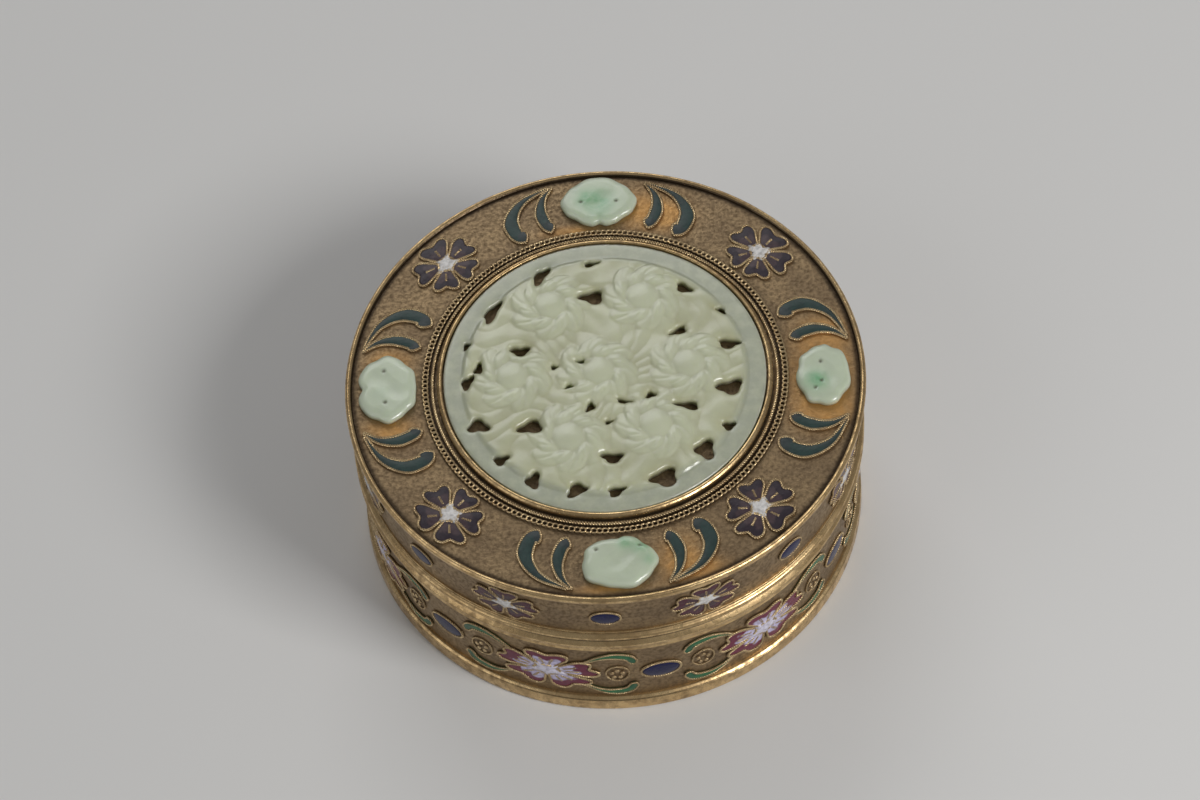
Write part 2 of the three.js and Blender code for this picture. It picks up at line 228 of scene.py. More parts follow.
def gilt(name, dark, middle, light, roughness, broad_scale, fine_scale, bump_strength):
    """Old gilt metal: middle colour clouded with the light one, pitted with the dark, near black where the mesh carries
    painted shade and dirt.
    """
    finish, tree, surface = new_finish(name)
    clouds = mottled(tree, broad_scale, fine_scale)
    colour = mixed(tree, clouds["Broad"], middle, light)
    colour = mixed(tree, combined(tree, "MULTIPLY", clouds["Fine"], 0.6), colour, dark)
    gold = combined(tree, "MULTIPLY", reading(tree, "gold"), spread(tree, clouds["Broad"], 0, 1, 0.75, 1.0))
    colour = mixed(tree, gold, colour, (0.66, 0.36, 0.12))
    # Painted shade in corners, joints and crevices, and darker grooves: near black by the mesh's darkening attribute.
    colour = mixed(tree, reading(tree, "dirt"), colour, (0.035, 0.022, 0.013))
    tree.links.new(colour, surface.inputs["Base Color"])
    surface.inputs["Metallic"].default_value = 0.85
    tree.links.new(spread(tree, clouds["Fine"], 0, 1, roughness, roughness + 0.25), surface.inputs["Roughness"])
    bumped(tree, surface, clouds["Height"], bump_strength, 0.0004)
    return finish


field_gilt = gilt("field_gilt", (0.11, 0.072, 0.042), (0.25, 0.175, 0.10), (0.36, 0.255, 0.14), 0.40, 150, 1500, 0.30)
bright_gilt = gilt("bright_gilt", (0.16, 0.10, 0.05), (0.56, 0.38, 0.18), (0.74, 0.53, 0.27), 0.22, 160, 700, 0.12)
wire_gilt = gilt("wire_gilt", (0.20, 0.13, 0.07), (0.58, 0.42, 0.23), (0.78, 0.60, 0.34), 0.25, 200, 1200, 0.0)
inner_gilt = gilt("inner_gilt", (0.20, 0.13, 0.07), (0.42, 0.29, 0.15), (0.52, 0.37, 0.19), 0.35, 60, 500, 0.15)


def loop_body(grid, attributes=None):
    """A body from a grid that closes on itself both ways: rows x columns x 3, in millimetres."""
    rows, columns = grid.shape[:2]
    row, column = np.meshgrid(np.arange(rows), np.arange(columns), indexing="ij")
    at = lambda i, j: (i % rows) * columns + (j % columns)
    faces = np.stack([at(row, column), at(row, column + 1), at(row + 1, column + 1), at(row + 1, column)], -1)
    return {"points": grid.reshape(-1, 3), "faces": faces.reshape(-1, 4).tolist(), **(attributes or {})}


def ring_body(grid, attributes=None):
    """A body from rings that each close on themselves, with a flat face on the first and on the last."""
    rows, columns = grid.shape[:2]
    row, column = np.meshgrid(np.arange(rows - 1), np.arange(columns), indexing="ij")
    at = lambda i, j: i * columns + (j % columns)
    faces = np.stack([at(row, column), at(row, column + 1), at(row + 1, column + 1), at(row + 1, column)], -1)
    caps = [list(range(columns))[::-1], list(range((rows - 1) * columns, rows * columns))]
    return {"points": grid.reshape(-1, 3), "faces": faces.reshape(-1, 4).tolist() + caps, **(attributes or {})}


def patch_body(top, bottom, attributes=None):
    """A slab between two grids of like shape: its two faces, and a wall round their edge."""
    rows, columns = top.shape[:2]
    row, column = np.meshgrid(np.arange(rows - 1), np.arange(columns - 1), indexing="ij")
    at = lambda i, j: i * columns + j
    face = np.stack([at(row, column), at(row + 1, column), at(row + 1, column + 1), at(row, column + 1)], -1)
    face = face.reshape(-1, 4)
    rim = [at(0, j) for j in range(columns)] + [at(i, columns - 1) for i in range(1, rows)]
    rim += [at(rows - 1, j) for j in range(columns - 2, -1, -1)] + [at(i, 0) for i in range(rows - 2, 0, -1)]
    rim = np.array(rim)
    after = np.roll(rim, -1)
    count = rows * columns
    wall = np.stack([rim, after, after + count, rim + count], -1)
    faces = np.concatenate([face, face[:, ::-1] + count, wall])
    doubled = {key: np.concatenate([value, value]) for key, value in (attributes or {}).items()}
    return {"points": np.concatenate([top.reshape(-1, 3), bottom.reshape(-1, 3)]), "faces": faces.tolist(), **doubled}


def joined(bodies):
    """Several bodies as one, each still closed by itself."""
    result, start = {"points": [], "faces": []}, 0
    for key in set().union(*bodies) - {"faces"}:
        result[key] = np.concatenate([body[key] for body in bodies])
    for body in bodies:
        result["faces"] += [[corner + start for corner in face] for face in body["faces"]]
        start += len(body["points"])
    return result


def outward(body):
    """The body with its faces turned outwards, by the sign of its volume."""
    points = body["points"]
    fans = np.array([(f[0], f[k], f[k + 1]) for f in body["faces"] for k in range(1, len(f) - 1)])
    a, b, c = points[fans[:, 0]], points[fans[:, 1]], points[fans[:, 2]]
    if np.einsum("ij,ij->i", a, np.cross(b, c)).sum() < 0:
        body["faces"] = [face[::-1] for face in body["faces"]]
    return body


def add_piece(name, bodies, finish, body_name, replaced=(), smooth=True):
    """Puts bodies, in millimetres, into one piece with a finish, on a CAD body, and hides the CAD parts that it
    replaces.
    """
    body = joined([outward(one) for one in bodies])
    mesh = bpy.data.meshes.new(name)
    mesh.from_pydata((body["points"] * MM).tolist(), [], body["faces"])
    mesh.polygons.foreach_set("use_smooth", np.full(len(mesh.polygons), smooth))
    corner = np.zeros(len(mesh.loops), dtype=np.int32)
    mesh.loops.foreach_get("vertex_index", corner)
    for key in set(body) - {"points", "faces"}:
        if key == "uv":
            mesh.uv_layers.new(name="UVMap").data.foreach_set("uv", body["uv"][corner].ravel().astype(np.float32))
        else:
            layer = mesh.attributes.new(key, "FLOAT", "POINT")
            layer.data.foreach_set("value", body[key].astype(np.float32))
    mesh.materials.append(finish)
    piece = bpy.data.objects.new(name, mesh)
    bpy.context.scene.collection.objects.link(piece)
    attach(piece, body_name)
    if replaced:
        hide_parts(*replaced)
    return piece


around = 240


def turned_body(section, dirt):
    """A ring turned from a closed section of [radius, height] points in millimetres, with painted shade and dirt at
    each point.
    """
    section, dirt = np.array(section, float), np.array(dirt, float)
    direction = np.linspace(0, 2 * np.pi, around, endpoint=False)
    grid = np.stack([
        section[:, :1] * np.cos(direction), section[:, :1] * np.sin(direction),
        np.repeat(section[:, 1:], around, axis=1),
    ], -1)
    carried = {"dirt": np.repeat(dirt, around), "gold": np.zeros(grid.shape[0] * around)}
    return loop_body(grid, carried)


def rounded(section, radius, steps=4):
    """A closed section with each corner replaced by a small curve that starts and ends a radius from it."""
    section = np.array(section, float)
    before, after = np.roll(section, 1, axis=0), np.roll(section, -1, axis=0)
    reach = lambda other: (other - section) * np.minimum(
        radius / np.linalg.norm(other - section, axis=1), 0.45)[:, None]
    start, end = section + reach(before), section + reach(after)
    share = np.linspace(0, 1, steps + 1)[:, None, None]
    curve = (1 - share) ** 2 * start + 2 * share * (1 - share) * section + share ** 2 * end
    return curve.transpose(1, 0, 2).reshape(-1, 2)


def span_of(node):
    """Outer radius, lowest and highest point of a CAD node, in millimetres."""
    low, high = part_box(node)
    return high.x / MM, low.z / MM, high.z / MM


box_radius, foot_low, foot_high = span_of("base_foot_ring")
wall_radius, _, base_wall_top = span_of("base_wall")
collar_radius, collar_foot, collar_top = span_of("base_collar")
floor_radius, floor_low, floor_high = span_of("base_floor")
_, base_rim_low, base_rim_top = span_of("base_top_rim")
_, lid_low, lid_rim_top = span_of("lid_lower_rim")
_, _, lid_wall_top = span_of("lid_wall")
_, _, lid_top = span_of("lid_top_plate")
_, _, lid_rim_wire_top = span_of("lid_top_rim")
sheet = 0.8
wall_inner = wall_radius - sheet


def shell_ring(name, section, radius, finish, body_name, shade_and_grime):
    """A turned ring with rounded corners; the last argument gives, for a point's radius and height, its darkening by
    painted shade and dirt.
    """
    curve = rounded(section, radius)
    dirt = np.clip(shade_and_grime(curve[:, 0], curve[:, 1]), 0, 1)
    add_piece(name + "_turned", [turned_body(curve, dirt)], finish, body_name, (name,))


def near(value, place, width):
    """A soft bell about a place."""
    return np.exp(-((value - place) / width) ** 2)


# The foot ring is darker in its outer groove.
shell_ring("base_foot_ring", [
    (wall_inner - 2.1, foot_low), (box_radius - 0.3, foot_low), (box_radius, foot_low + 0.4),
    (box_radius - 0.15, foot_high - 0.75), (box_radius - 0.5, foot_high - 0.6),
    (box_radius - 0.1, foot_high - 0.3), (box_radius - 0.6, foot_high), (wall_inner, foot_high),
    (wall_inner, floor_low), (wall_inner - 2.1, floor_low),
], 0.15, bright_gilt, "base", lambda r, z: 0.8 * near(z, foot_high - 0.62, 0.14) * (r > wall_radius))
shell_ring("base_wall", [
    (wall_inner, foot_high), (wall_radius, foot_high), (wall_radius, base_wall_top), (wall_inner, base_wall_top),
], 0.05, field_gilt, "base", lambda r, z: 0 * r)
# The base's rim is darker in its groove, with painted shade on its top face under the lid and on its inner face.
shell_ring("base_top_rim", [
    (wall_inner, base_rim_low), (wall_radius + 0.45, base_rim_low), (wall_radius + 0.25, base_rim_low + 0.4),
    (wall_radius + 0.35, base_rim_low + 1.6), (wall_radius + 0.05, base_rim_low + 1.85),
    (box_radius - 0.05, base_rim_low + 2.1), (box_radius, base_rim_low + 2.5),
    (wall_radius + 0.3, base_rim_top - 0.25), (wall_radius, base_rim_top), (wall_inner, base_rim_top),
], 0.18, bright_gilt, "base",
    lambda r, z: 0.7 * near(z, base_rim_low + 1.8, 0.12) + 0.9 * (z > base_rim_top - 0.3) + 0.4 * (r < wall_inner + 0.1))
shell_ring("base_collar", [
    (collar_radius - sheet, collar_foot), (collar_radius, collar_foot),
    (collar_radius, collar_top), (collar_radius - sheet, collar_top),
], 0.3, inner_gilt, "base", lambda r, z: 0 * r)
# The lid's lower rim has painted shade on its bottom face, where it rests on the base, and is darker in its groove.
shell_ring("lid_lower_rim", [
    (wall_inner, lid_low), (wall_radius, lid_low), (box_radius - 0.15, lid_low + 0.55), (box_radius, lid_low + 1.0),
    (box_radius - 0.25, lid_low + 1.4), (wall_radius + 0.15, lid_low + 1.65),
    (wall_radius + 0.35, lid_rim_top), (wall_inner, lid_rim_top),
], 0.22, bright_gilt, "lid",
    lambda r, z: 0.9 * (z < lid_low + 0.25) + 0.6 * near(z, lid_low + 1.75, 0.15))
shell_ring("lid_wall", [
    (wall_inner, lid_rim_top), (wall_radius, lid_rim_top), (wall_radius, lid_wall_top), (wall_inner, lid_wall_top),
], 0.05, field_gilt, "lid", lambda r, z: 0 * r)
# The lid's top rim has painted shade on its inner face, in the corner with the lid's top, and under its overhang at the
# top of the wall.
shell_ring("lid_top_rim", [
    (wall_radius - 0.15, lid_top), (wall_radius + 0.3, lid_top), (wall_radius + 0.3, lid_wall_top),
    (box_radius - 0.25, lid_wall_top), (box_radius, lid_wall_top + 0.5), (box_radius, lid_rim_wire_top - 0.35),
    (box_radius - 0.35, lid_rim_wire_top), (wall_radius + 0.35, lid_rim_wire_top - 0.02),
    (wall_radius - 0.1, lid_top + 0.3),
], 0.2, bright_gilt, "lid",
    lambda r, z: 0.95 * (r < wall_radius + 0.12) + 0.5 * near(z, lid_wall_top, 0.2))

# Floor of the base and top of the lid: flat sheet discs. The lid's top is clouded brown, with orange gold where the
# gilding survives beside the stones, and painted shade in a dark line where it meets the rim and the plaque's bezel,
# and under the plaque.
def disc_body(radii, low, high, gold=None, dirt=None):
    """A disc whose upper face has rings at the given radii; gold and the darkening by painted shade and dirt are
    functions of x and y.
    """
    direction = np.linspace(0, 2 * np.pi, around, endpoint=False)
    rows = np.array([radii[0], *([radii[-1]]), *([radii[-1]]), *radii[::-1]], float)
    heights = np.array([low, low, high, *([high] * len(radii))], float)
    x, y = rows[:, None] * np.cos(direction), rows[:, None] * np.sin(direction)
    z = np.repeat(heights[:, None], around, axis=1)
    zero = np.zeros(x.size)
    carried = {"gold": zero if gold is None else gold(x, y).ravel(), "dirt": zero if dirt is None else dirt(x, y).ravel()}
    return ring_body(np.stack([x, y, z], -1), carried)


bezel_outer, _, bezel_top = span_of("plaque_bezel")
plaque_radius, _, relief_top = span_of("jade_plaque")


def gold_left(x, y):
    """Gilding left beside the stones, as soft spots about places on the lid, broken up by a ripple."""
    spots = [
        (8.5, 33.5, 4.5, 3.5), (13.0, 32.0, 3.0, 2.5), (35.0, -3.0, 5.5, 7.0), (36.5, 5.5, 3.5, 3.0), (35.0, -9.5, 4.0, 3.0),
        (9.5, -35.5, 3.0, 4.0), (13.5, -37.5, 3.5, 2.0), (-35.5, -7.0, 3.5, 2.5), (-35.0, 6.5, 3.0, 2.0), (-3.5, 30.0, 4.0, 1.2),
        (-2.0, -39.8, 5.0, 0.9),
    ]
    total = sum(np.exp(-((x - a) / c) ** 2 - ((y - b) / d) ** 2) for a, b, c, d in spots)
    ripple = 0.5 + 0.5 * np.sin(2.1 * x + 1.3 * np.sin(1.7 * y)) * np.sin(1.9 * y + 1.1 * np.sin(1.3 * x))
    return np.clip(total * (0.65 + 0.5 * ripple), 0, 0.9)


def lid_shade(x, y):
    """Painted shade under the plaque and the wires, and in a line inside the rim wire."""
    radius = np.hypot(x, y)
    under = 0.55 * (radius < plaque_radius) + 0.95 * near(radius, bezel_outer + 1.3, 1.3)
    return np.clip(0.9 * near(radius, wall_radius - 0.3, 0.45) + under, 0, 1)


lid_rings = np.concatenate([[1.0, 12.0, 26.0], np.linspace(27.0, wall_radius, 60)])
add_piece("lid_top_plate_sheet", [disc_body(lid_rings, lid_wall_top, lid_top, gold_left, lid_shade)],
          field_gilt, "lid", ("lid_top_plate",))
add_piece("base_floor_sheet", [disc_body(np.linspace(1.0, floor_radius, 20), floor_low, floor_high)],
          inner_gilt, "base", ("base_floor",))

# Bezel and wires round the plaque: a plain collar of strip, a rope of two twisted strands, and a looped
# wire laid flat outside it. All are soldered to the lid's top.
# The bezel has painted shade at its foot, in the corner with the lid's top, and on its outer face behind the rope wire.
shell_ring("plaque_bezel", [
    (plaque_radius + 0.3, lid_top), (bezel_outer, lid_top), (bezel_outer - 0.1, bezel_top - 0.3),
    (bezel_outer - 0.5, bezel_top), (plaque_radius + 0.3, bezel_top - 0.05),
], 0.15, bright_gilt, "lid",
    lambda r, z: 0.85 * (z < lid_top + 0.25) + 0.35 * near(r, bezel_outer - 0.15, 0.12))


def evenly(points, step, closed=True):
    """A route through the points with equal steps along it."""
    track = np.concatenate([points, points[:1]]) if closed else points
    length = np.concatenate([[0], np.cumsum(np.linalg.norm(np.diff(track, axis=0), axis=1))])
    count = max(int(round(length[-1] / step)), 8)
    marks = np.linspace(0, length[-1], count, endpoint=not closed)
    return np.stack([np.interp(marks, length, track[:, k]) for k in range(track.shape[1])], -1), length[-1]


def tube_rings(route, normal, radius, sides, closed):
    """Rings of a tube: at each point of the route a circle across it."""
    ahead_of = np.roll(route, -1, axis=0) - np.roll(route, 1, axis=0)
    if not closed:
        ahead_of[0], ahead_of[-1] = route[1] - route[0], route[-1] - route[-2]
    tangent = ahead_of / np.linalg.norm(ahead_of, axis=1, keepdims=True)
    side = np.cross(tangent, normal)
    side /= np.linalg.norm(side, axis=1, keepdims=True)
    top = np.cross(side, tangent)
    turn_of = np.linspace(0, 2 * np.pi, sides, endpoint=False)
    ring = np.cos(turn_of)[None, :, None] * top[:, None] + np.sin(turn_of)[None, :, None] * side[:, None]
    return route[:, None] + np.reshape(radius, (-1, 1, 1)) * ring


def bare(count):
    """No painted shade and dirt, and no gold, on a body of so many points."""
    return {"dirt": np.zeros(count), "gold": np.zeros(count)}


def twisted(route, normal, strand, lay):
    """Two round strands wound about a closed route: each runs on a helix a strand's radius from it."""
    steps = 7
    both, length = evenly(np.concatenate([route, normal], axis=1), lay / steps)
    route, normal = both[:, :3], both[:, 3:]
    turns = max(int(round(length / lay)), 1)
    phase = np.linspace(0, 2 * np.pi * turns, len(route), endpoint=False)
    ahead_of = np.roll(route, -1, axis=0) - np.roll(route, 1, axis=0)
    side = np.cross(ahead_of, normal)
    side /= np.linalg.norm(side, axis=1, keepdims=True)
    strands = []
    for start in (0, np.pi):
        centre = route + strand * (np.cos(phase + start)[:, None] * normal + np.sin(phase + start)[:, None] * side)
        grid = tube_rings(centre, normal, strand * 1.05, 6, True)
        # Painted shade: each strand is darkened on its inner side, where it lies against the other strand.
        apart = np.linalg.norm(grid - route[:, None], axis=2) / strand
        strands.append(loop_body(grid, {"dirt": np.clip(1.9 - 1.15 * apart, 0, 1).ravel(), "gold": 0 * apart.ravel()}))
    return strands


def level_circle(radius, height, count=720):
    """A level circle about the box's axis, with its normal straight up."""
    direction = np.linspace(0, 2 * np.pi, count, endpoint=False)
    route = np.stack([radius * np.cos(direction), radius * np.sin(direction), np.full(count, height)], -1)
    return route, np.tile([0.0, 0.0, 1.0], (count, 1))


rope_outer, _, _ = span_of("bezel_rope_wire")
rope_strand = 0.16
add_piece("bezel_rope_wire_twisted",
          twisted(*level_circle(rope_outer - 0.35, lid_top + 2 * rope_strand), rope_strand, 0.95),
          wire_gilt, "lid", ("bezel_rope_wire",))

loop_outer, _, _ = span_of("bezel_loop_wire")
loops, loop_wire, loop_swing = 104, 0.15, 0.43
loop_bodies = []
for start in (0.0, np.pi):
    direction = np.linspace(0, 2 * np.pi, loops * 14, endpoint=False)
    phase = loops * direction + start
    slip = direction + 0.55 / loops * np.sin(2 * phase)
    radius = loop_outer - 0.6 + loop_swing * np.cos(phase)
    height = lid_top + 0.3 + 0.13 * np.sin(phase)
    route = np.stack([radius * np.cos(slip), radius * np.sin(slip), height], -1)
    grid = tube_rings(route, np.tile([0.0, 0.0, 1.0], (len(route), 1)), loop_wire, 6, True)
    # Painted shade on the lower side of the wire, where it rests on the lid's top.
    low_shade = np.clip((lid_top + 0.33 - grid[..., 2]) / 0.3, 0, 1).ravel()
    loop_bodies.append(loop_body(grid, {"dirt": low_shade, "gold": 0 * low_shade}))
add_piece("bezel_loop_wire_laid", loop_bodies, wire_gilt, "lid", ("bezel_loop_wire",))

# Enamel: powdered glass fired in cells of twisted wire. The lid's flowers are dark plum with a white middle,
# the base's are white and lilac with burgundy lobes, the leaves dark teal or green, the ovals cobalt.


def enamel(name, inner, outer, tip, border, tip_start, roughness=0.16):
    """Glassy enamel whose colour runs out from a cell's root to its tip, with uneven borders and pits."""
    finish, tree, surface = new_finish(name)
    clouds = mottled(tree, 420, 1500)
    split = tree.nodes.new("ShaderNodeSeparateXYZ")
    tree.links.new(tree.nodes.new("ShaderNodeUVMap").outputs["UV"], split.inputs["Vector"])
    wobble = spread(tree, clouds["Broad"], 0, 1, -0.07, 0.07)
    along = tree.nodes.new("ShaderNodeMath")
    along.operation = "ADD"
    tree.links.new(split.outputs["Y"], along.inputs[0])
    tree.links.new(wobble, along.inputs[1])
    colour = ramp_of(tree, along.outputs["Value"], [
        (0.0, inner), (border, inner), (border + 0.08, outer), (tip_start, outer), (min(tip_start + 0.08, 1.0), tip), (1.0, tip),
    ])
    colour = mixed(tree, combined(tree, "MULTIPLY", clouds["Fine"], 0.45), colour, tuple(0.45 * c for c in tip))
    tree.links.new(colour, surface.inputs["Base Color"])
    surface.inputs["Roughness"].default_value = roughness
    surface.inputs["IOR"].default_value = 1.48
    surface.inputs["Specular IOR Level"].default_value = 0.35
    bumped(tree, surface, clouds["Height"], 0.18, 0.0003)
    return finish


white = (0.72, 0.70, 0.68)
plum_enamel = enamel("plum_enamel", white, (0.070, 0.045, 0.050), (0.034, 0.024, 0.032), 0.10, 0.62, 0.3)
wine_enamel = enamel("wine_enamel", white, (0.060, 0.028, 0.036), (0.070, 0.012, 0.026), 0.10, 0.62, 0.2)
lilac_enamel = enamel("lilac_enamel", (0.74, 0.71, 0.84), (0.62, 0.57, 0.80), (0.15, 0.008, 0.040), 0.30, 0.60)
teal_enamel = enamel("teal_enamel", (0.030, 0.048, 0.044), (0.028, 0.054, 0.048), (0.040, 0.052, 0.052), 0.3, 0.7, 0.35)
green_enamel = enamel("green_enamel", (0.02, 0.15, 0.055), (0.018, 0.14, 0.050), (0.012, 0.10, 0.040), 0.3, 0.7)
cobalt_enamel = enamel("cobalt_enamel", (0.003, 0.004, 0.055), (0.003, 0.003, 0.045), (0.002, 0.003, 0.03), 0.3, 0.7, 0.15)

ornament_ring = 35.55
seat_gap = 0.3


def lid_seat(turn_of):
    """Where a point of an ornament lies on the lid's top: across along the ring, out from the middle, up."""
    def place(across, out, height):
        radius, direction = ornament_ring + out, np.radians(turn_of) + across / ornament_ring
        return np.stack(np.broadcast_arrays(radius * np.cos(direction), radius * np.sin(direction), lid_top + height), -1)
    return place


def wall_seat(turn_of, middle):
    """Where a point of an ornament lies on a wall: across along the wall, up it, and out from it."""
    def place(across, out, height):
        radius = wall_radius + 0.02 + height
        direction = np.radians(turn_of) + across / (wall_radius + seat_gap)
        return np.stack(np.broadcast_arrays(radius * np.cos(direction), radius * np.sin(direction), middle + out), -1)
    return place


def wired(place, across, out, height, strand, lay=0.78):
    """A twisted wire laid on its seat along a closed outline."""
    route = place(across, out, height)
    normal = place(across, out, height + 1.0) - route
    return twisted(route, normal, strand, lay)


def petal_outline(direction, half, dip):
    """Reach of a heart-shaped petal for a direction off its own line: full, with a dip at the tip."""
    share = direction / half
    return (1 - dip * np.exp(-(share / 0.30) ** 2)) * (1 - np.abs(share) ** 6) ** 0.30


def flower(place, turned, half_width, half_height, dip, wire_strand, petals=5, heart=0.17, rise=0.26, veins=(0.0,)):
    """Enamel bodies and wire bodies of a flower: petals about a middle, each in its own cell of wire."""
    cells, wires = [], []
    half = np.pi / petals * 0.93
    for k in range(petals):
        direction = np.linspace(-half, half, 27)
        share = np.linspace(1.5 * heart, 0.97, 12)[:, None]
        reach = petal_outline(direction, half, dip)
        line = turned + k * 2 * np.pi / petals + direction * (0.86 + 0.14 * share)
        across, out = half_width * reach * share * np.cos(line), half_height * reach * share * np.sin(line)
        dome = rise + 0.07 * np.sin(np.pi * share) * np.cos(0.5 * np.pi * direction / half)
        uv = np.stack(np.broadcast_arrays(direction / half, share + 0 * direction), -1).reshape(-1, 2)
        cells.append(patch_body(place(across, out, dome), place(across, out, 0.0 * dome), {"uv": uv}))
        edge_line = np.concatenate([across[:, 0], across[-1], across[::-1, -1], across[0, ::-1]])
        edge_out = np.concatenate([out[:, 0], out[-1], out[::-1, -1], out[0, ::-1]])
        wires += wired(place, edge_line * 1.02, edge_out * 1.02, rise, wire_strand)
        for side in veins:
            along = np.concatenate([np.linspace(0.36, 0.62, 10), np.linspace(0.62, 0.36, 10)])
            beside = side * half * (0.5 + 0.5 * along) + np.repeat([0.03, -0.03], 10)
            way = turned + k * 2 * np.pi / petals + beside
            wires += wired(place, half_width * along * np.cos(way), half_height * along * np.sin(way), rise + 0.03,
                           0.5 * wire_strand)
    middle = np.linspace(0, 2 * np.pi, 60, endpoint=False)
    ragged = 0.16 * np.cos(petals * (middle - turned) + np.pi) + 0.07 * np.cos(3 * middle + turned)
    reach = heart * (1.55 + 2.6 * ragged + 0.3 * np.abs(np.cos(petals * middle + turned)) ** 6)
    rings = [(1.0, 0.0), (1.0, rise + 0.12), (0.7, rise + 0.23), (0.1, rise + 0.25)]
    grid = np.stack([
        place(half_width * reach * s * np.cos(middle), half_height * reach * s * np.sin(middle), h) for s, h in rings
    ])
    cells.append(ring_body(grid, {"uv": np.zeros((grid.shape[0] * grid.shape[1], 2))}))
    return cells, wires


def smooth_route(points, count):
    """A Catmull-Rom curve through the points."""
    points = np.array(points, float)
    padded = np.concatenate([[2 * points[0] - points[1]], points, [2 * points[-1] - points[-2]]])
    where = np.linspace(0, len(points) - 1 - 1e-9, count)
    k = where.astype(int)
    t = (where - k)[:, None]
    a, b, c, d = padded[k], padded[k + 1], padded[k + 2], padded[k + 3]
    return 0.5 * (2 * b + (c - a) * t + (2 * a - 5 * b + 4 * c - d) * t ** 2 + (3 * b - a - 3 * c + d) * t ** 3)


def comma(place, route, breadth, wire_strand, rise=0.26):
    """A comma-shaped leaf: thin at the tail, broad along its body and round at its head, in a cell of wire."""
    line = smooth_route(route, 34)
    along = np.gradient(line, axis=0)
    along /= np.linalg.norm(along, axis=1, keepdims=True)
    across_of = np.stack([-along[:, 1], along[:, 0]], -1)
    share = np.linspace(0, 1, len(line))
    half = breadth / 2 * (0.14 + 0.86 * np.clip(share / 0.55, 0, 1) ** 1.1)
    half *= np.sqrt(1 - np.clip((share - 0.90) / 0.103, 0, 1) ** 2)
    side = np.linspace(-1, 1, 9)[:, None, None]
    grid = line + side * half[:, None] * across_of
    dome = rise + 0.10 * (1 - side[:, :, 0] ** 2) * np.ones(len(line))
    uv = np.stack(np.broadcast_arrays(side[:, :, 0], share), -1).reshape(-1, 2)
    body = patch_body(place(grid[..., 0], grid[..., 1], dome), place(grid[..., 0], grid[..., 1], 0 * dome), {"uv": uv})
    outline = np.concatenate([grid[0], grid[-1, ::-1]])
    return [body], wired(place, outline[:, 0], outline[:, 1], rise, wire_strand)


def oval(place, half_width, half_height, wire_strand, rise=0.28):
    """A domed oval of enamel in a ring of wire."""
    direction = np.linspace(0, 2 * np.pi, 64, endpoint=False)
    rings = [(1.0, 0.0), (1.0, rise), (0.85, rise + 0.07), (0.6, rise + 0.12), (0.3, rise + 0.15), (0.05, rise + 0.16)]
    grid = np.stack([
        place(half_width * s * np.cos(direction), half_height * s * np.sin(direction), h) for s, h in rings
    ])
    uv = np.zeros((grid.shape[0] * grid.shape[1], 2))
    wires = wired(place, half_width * 1.07 * np.cos(direction), half_height * 1.1 * np.sin(direction), rise * 0.7, wire_strand)
    return [ring_body(grid, {"uv": uv})], wires


wire_strand = 0.125

# Four flowers on the lid's top, between the stones.
for corner, turn_of, turned in (("north_west", 134.6, 0.5), ("north_east", 40.0, 0.25), ("south_east", -49.8, 0.1), ("south_west", -137.6, 0.9)):
    cells, wires = flower(lid_seat(turn_of), turned, 6.1, 5.35, 0.15, wire_strand)
    add_piece(f"lid_flower_{corner}_enamel", cells, plum_enamel, "lid", (f"lid_flower_{corner}",))
    add_piece(f"lid_flower_{corner}_wires", wires, wire_gilt, "lid")

# On each side of a stone two scrolled leaves of dark teal enamel, whose wires run out together to the rim.
stones = {"north": (88.0, 6.4, 5.1), "east": (-5.0, 6.0, 4.5), "south": (-90.0, 6.2, 4.8), "west": (179.0, 6.5, 5.0)}
near_leaf = [(0.7, 4.7), (2.6, 2.6), (3.6, -0.2), (3.3, -2.9), (2.2, -3.7)]
far_leaf = [(1.3, 4.7), (5.9, 3.2), (8.8, 0.3), (9.1, -2.9), (7.5, -3.7)]
for name, (turn_of, half_width, half_depth) in stones.items():
    for hand, sign in (("left", 1), ("right", -1)):
        cells, wires = [], []
        for leaf, breadth in ((near_leaf, 2.15), (far_leaf, 2.6)):
            route = [(sign * (half_width + across), out) for across, out in leaf]
            more_cells, more_wires = comma(lid_seat(turn_of), route, breadth, wire_strand)
            cells, wires = cells + more_cells, wires + more_wires
        add_piece(f"leaf_spray_{name}_{hand}_enamel", cells, teal_enamel, "lid", (f"leaf_spray_{name}_{hand}",))
        add_piece(f"leaf_spray_{name}_{hand}_wires", wires, wire_gilt, "lid")

# Lid band: eight plum flowers and eight cobalt ovals in turn round the wall.
first_lid_oval, lid_repeats, lid_band_middle = -94.0, 8, lid_low + 6.6
for k in range(lid_repeats):
    oval_turn = first_lid_oval + k * 360 / lid_repeats
    cells, wires = flower(wall_seat(oval_turn + 180 / lid_repeats, lid_band_middle), np.pi / 2, 5.9, 4.05, 0.15, 0.10, rise=0.22)
    add_piece(f"lid_band_flower_{k + 1}_enamel", cells, wine_enamel, "lid", (f"lid_band_flower_{k + 1}",))
    add_piece(f"lid_band_flower_{k + 1}_wires", wires, wire_gilt, "lid")
    cells, wires = oval(wall_seat(oval_turn, lid_band_middle), 2.3, 1.55, 0.10)
    add_piece(f"lid_band_oval_{k + 1}_enamel", cells, cobalt_enamel, "lid", (f"lid_band_oval_{k + 1}",))
    add_piece(f"lid_band_oval_{k + 1}_wires", wires, wire_gilt, "lid")

# Base band: seven flowers with four green scrolled leaves each, seven ovals, and beside each oval a loop of
# wire round small grains of gold.
first_base_oval, base_repeats, base_band_middle = -82.5, 7, 10.7
scroll = [(6.3, 3.6), (8.6, 5.1), (11.0, 5.7), (13.4, 5.1), (14.5, 3.3)]


